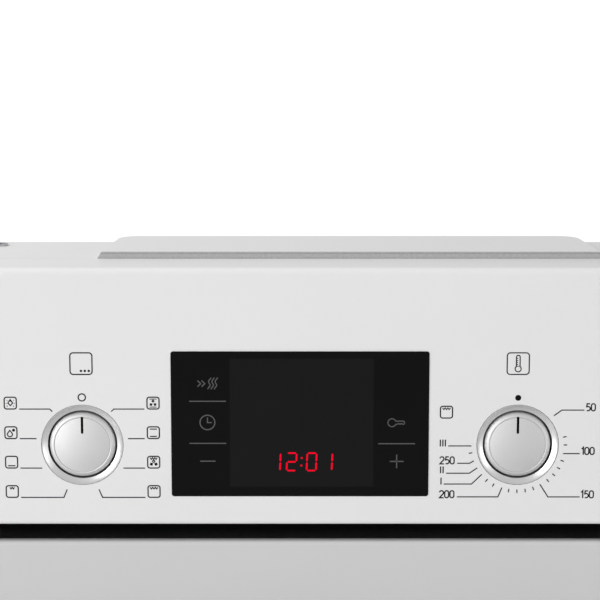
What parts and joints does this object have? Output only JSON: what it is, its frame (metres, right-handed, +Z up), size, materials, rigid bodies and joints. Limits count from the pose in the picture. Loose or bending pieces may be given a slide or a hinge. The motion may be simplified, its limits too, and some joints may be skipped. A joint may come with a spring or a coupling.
{
  "type": "wall oven",
  "caption": "Built-in wall oven with a drop-down glass door, bar handle, two push-in knobs, a touch display and a fan-heated cavity.",
  "frame": {"origin": "on the niche floor, in the plane of the cabinet's front edge, at the centre of the width", "axes": "+Z up, +Y into the niche (the user stands on the -Y side), +X to the right of a user who faces the oven"},
  "size_m": [0.594, 0.593, 0.5977],
  "materials": {
    "front_enamel": "satin white enamel",
    "knob_metal": "turned satin metal",
    "black_glass": "dark coated glass",
    "clear_glass": "clear heat-reflecting glass",
    "lamp_glass": "ribbed lamp glass",
    "cover_paint": "satin pale paint",
    "galvanised": "zinc-coated sheet with faint spangle",
    "enamel": "speckled vitreous enamel",
    "chrome_wire": "bright chrome plate",
    "heater": "oxidised heater sheath",
    "aluminium": "satin",
    "motor_metal": "lacquered motor can",
    "seal": "braided heat-proof seal",
    "black_plastic": "moulded, fine grain",
    "pale_plastic": "moulded",
    "board": "circuit board with parts",
    "wool": "glass wool",
    "hinge_steel": "zinc-plated steel",
    "screw_steel": "bright zinc"
  },
  "bodies": {
    "oven": {"control_panel": "front_enamel", "display_glass": "black_glass", "display_module": "board", "panel_carrier": "black_plastic", "function_bezel": "knob_metal", "temperature_bezel": "knob_metal", "function_switch": "pale_plastic", "temperature_switch": "pale_plastic", "ledge_housing": "cover_paint", "vent_cover": "cover_paint", "panel_screws": "screw_steel", "control_board": "board", "chassis_base": "galvanised", "chassis_side_left": "galvanised", "chassis_side_right": "galvanised", "chassis_back": "galvanised", "top_cover": "galvanised", "rear_deck": "galvanised", "chassis_screws": "screw_steel", "air_duct": "galvanised", "cooling_fan_housing": "galvanised", "cooling_motor": "motor_metal", "front_frame": "enamel", "cavity_liner": "enamel", "insulation": "wool", "door_gasket": "seal", "fan_baffle": "enamel", "convection_motor": "motor_metal", "ring_element": "heater", "grill_element": "heater", "bottom_element": "heater", "lamp_holder": "pale_plastic", "lamp_bulb": "lamp_glass", "lamp_lens": "lamp_glass", "temperature_probe": "hinge_steel", "rack_support_left": "chrome_wire", "rack_support_right": "chrome_wire", "terminal_box": "black_plastic", "hinge_arms": "hinge_steel", "hinge_receivers": "hinge_steel"},
    "door": {"door_front_strip": "front_enamel", "door_outer_glass": "black_glass", "door_middle_glass": "clear_glass", "door_inner_glass": "clear_glass", "door_side_left": "galvanised", "door_side_right": "galvanised", "door_top_rail": "black_plastic", "door_bottom_rail": "galvanised", "handle_bar": "aluminium", "handle_posts": "aluminium", "hinge_cases": "hinge_steel", "hinge_springs": "hinge_steel"},
    "function_spindle_body": {"function_spindle": "hinge_steel"},
    "temperature_spindle_body": {"temperature_spindle": "hinge_steel"},
    "function_knob_body": {"function_knob": "knob_metal"},
    "temperature_knob_body": {"temperature_knob": "knob_metal"},
    "cooling_fan_body": {"cooling_fan": "black_plastic"},
    "convection_fan_body": {"convection_fan": "aluminium"},
    "shelf_body": {"wire_shelf": "chrome_wire"},
    "tray_body": {"baking_tray": "enamel"}
  },
  "joints": [
    {"name": "door_hinge", "type": "hinge", "parent": "oven", "child": "door", "pos_m": [0, -0.012, 0.018], "axis": [1, 0, 0], "range_deg": [0, 90], "stiffness_Nm_per_rad": 16, "springref_deg": -11.46},
    {"name": "function_turn", "type": "hinge", "parent": "oven", "child": "function_spindle_body", "pos_m": [-0.08, 0, 0.5293], "axis": [0, 1, 0], "continuous": true},
    {"name": "function_pull", "type": "slide", "parent": "function_spindle_body", "child": "function_knob_body", "axis": [0, -1, 0], "range_m": [0, 0.017]},
    {"name": "temperature_turn", "type": "hinge", "parent": "oven", "child": "temperature_spindle_body", "pos_m": [0.08, 0, 0.5293], "axis": [0, 1, 0], "range_deg": [0, 270]},
    {"name": "temperature_pull", "type": "slide", "parent": "temperature_spindle_body", "child": "temperature_knob_body", "axis": [0, -1, 0], "range_m": [0, 0.017]},
    {"name": "convection_fan_spin", "type": "hinge", "parent": "oven", "child": "convection_fan_body", "pos_m": [0, 0.44, 0.275], "axis": [0, 1, 0], "continuous": true},
    {"name": "cooling_fan_spin", "type": "hinge", "parent": "oven", "child": "cooling_fan_body", "pos_m": [0, 0.32, 0.5], "axis": [0, 0, 1], "continuous": true},
    {"name": "shelf_slide", "type": "slide", "parent": "oven", "child": "shelf_body", "axis": [0, -1, 0], "range_m": [0, 0.012]},
    {"name": "tray_slide", "type": "slide", "parent": "oven", "child": "tray_body", "axis": [0, -1, 0], "range_m": [0, 0.012]}
  ]
}
